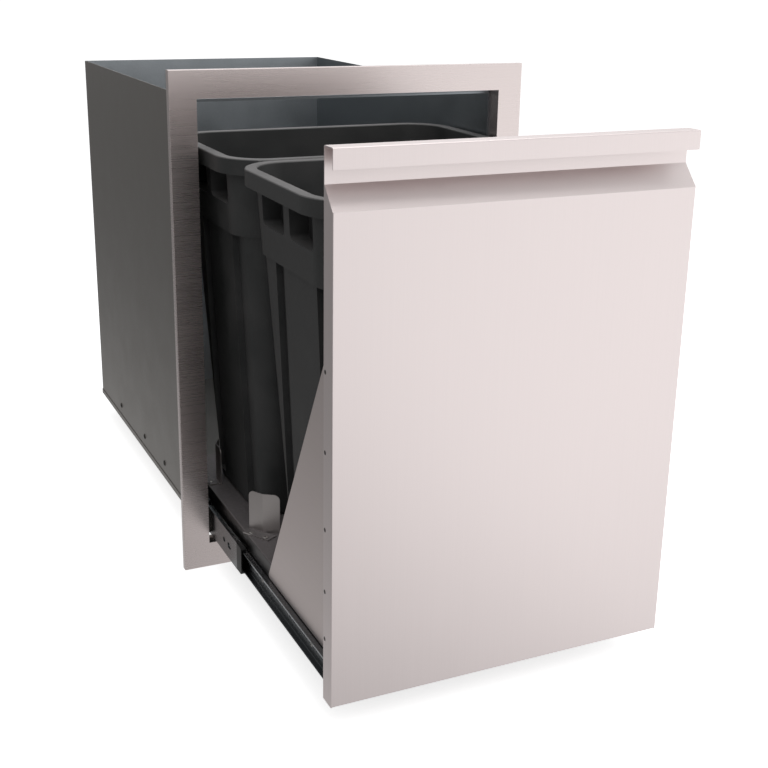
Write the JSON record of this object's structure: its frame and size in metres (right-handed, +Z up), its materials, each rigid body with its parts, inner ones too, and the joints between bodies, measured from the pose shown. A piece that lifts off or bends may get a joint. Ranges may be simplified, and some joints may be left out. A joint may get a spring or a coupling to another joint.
{
  "type": "built-in pull-out waste bin drawer",
  "caption": "Built-in steel pull-out waste drawer: face frame, open-topped housing, telescopic ball slides, front with a folded grip, lift-out plastic bins on a tray.",
  "frame": {"origin": "middle of the rear face of the bottom rail's bearing lip, the face that lies on the cabinet front", "axes": "+X to the right, +Y to the back, +Z up; the drawer opens towards -Y and is stored part open"},
  "size_m": [0.508, 1.117, 0.686],
  "materials": {
    "frame_steel": "brushed along the rails",
    "housing_steel": "mill finish sheet",
    "tray_steel": "satin sheet",
    "slide_steel": "bright zinc plated, cold rolled",
    "fastener_steel": "bright zinc plated",
    "dark_screw": "blackened",
    "block_plastic": "moulded, fine texture",
    "bin_plastic": "moulded, satin"
  },
  "bodies": {
    "cabinet": {"face_frame": "frame_steel", "housing_wall_left": "housing_steel", "housing_wall_right": "housing_steel", "housing_back": "housing_steel", "housing_floor": "housing_steel", "housing_top_rail": "housing_steel", "slide_outer_left": "slide_steel", "slide_outer_right": "slide_steel", "slide_screws_left": "fastener_steel", "slide_screws_right": "fastener_steel"},
    "drawer": {"drawer_front": "frame_steel", "drawer_liner": "tray_steel", "tray": "tray_steel", "guide_rivets": "fastener_steel", "liner_rivets": "fastener_steel", "front_screws_left": "dark_screw", "front_screws_right": "dark_screw", "gusset_left": "tray_steel", "gusset_right": "tray_steel", "guide_front_left": "tray_steel", "guide_front_right": "tray_steel", "guide_middle_left": "tray_steel", "guide_middle_right": "tray_steel", "guide_rear_left": "tray_steel", "guide_rear_right": "tray_steel", "slide_inner_left": "slide_steel", "slide_inner_right": "slide_steel", "slide_rivets_left": "fastener_steel", "slide_rivets_right": "fastener_steel"},
    "front_bin": {"front_bin": "bin_plastic"},
    "rear_bin": {"rear_bin": "bin_plastic"},
    "slide_middle_left": {"slide_middle_left": "slide_steel", "slide_end_block_left": "block_plastic"},
    "cage_outer_left": {"ball_cage_outer_left": "slide_steel"},
    "cage_inner_left": {"ball_cage_inner_left": "slide_steel"},
    "slide_middle_right": {"slide_middle_right": "slide_steel", "slide_end_block_right": "block_plastic"},
    "cage_outer_right": {"ball_cage_outer_right": "slide_steel"},
    "cage_inner_right": {"ball_cage_inner_right": "slide_steel"}
  },
  "joints": [
    {"name": "middle_slide_left", "type": "slide", "parent": "cabinet", "child": "slide_middle_left", "axis": [0, -1, 0], "range_m": [-0.153, 0.152]},
    {"name": "middle_slide_right", "type": "slide", "parent": "cabinet", "child": "slide_middle_right", "axis": [0, -1, 0], "range_m": [-0.153, 0.152]},
    {"name": "drawer_slide", "type": "slide", "parent": "slide_middle_left", "child": "drawer", "axis": [0, -1, 0], "range_m": [-0.289, 0.016]},
    {"name": "outer_cage_left", "type": "slide", "parent": "cabinet", "child": "cage_outer_left", "axis": [0, -1, 0], "range_m": [-0.0765, 0.076]},
    {"name": "inner_cage_left", "type": "slide", "parent": "slide_middle_left", "child": "cage_inner_left", "axis": [0, -1, 0], "range_m": [-0.1445, 0.008]},
    {"name": "outer_cage_right", "type": "slide", "parent": "cabinet", "child": "cage_outer_right", "axis": [0, -1, 0], "range_m": [-0.0765, 0.076]},
    {"name": "inner_cage_right", "type": "slide", "parent": "slide_middle_right", "child": "cage_inner_right", "axis": [0, -1, 0], "range_m": [-0.1445, 0.008]},
    {"name": "front_bin_lift", "type": "slide", "parent": "drawer", "child": "front_bin", "axis": [0, 0, 1], "range_m": [0, 0.04]},
    {"name": "rear_bin_lift", "type": "slide", "parent": "drawer", "child": "rear_bin", "axis": [0, 0, 1], "range_m": [0, 0.04]}
  ],
  "couplings": [
    {"joint": "middle_slide_right", "follows": "middle_slide_left", "ratio": 1},
    {"joint": "outer_cage_left", "follows": "middle_slide_left", "ratio": 0.5},
    {"joint": "inner_cage_left", "follows": "drawer_slide", "ratio": 0.5},
    {"joint": "outer_cage_right", "follows": "middle_slide_left", "ratio": 0.5},
    {"joint": "inner_cage_right", "follows": "drawer_slide", "ratio": 0.5}
  ]
}
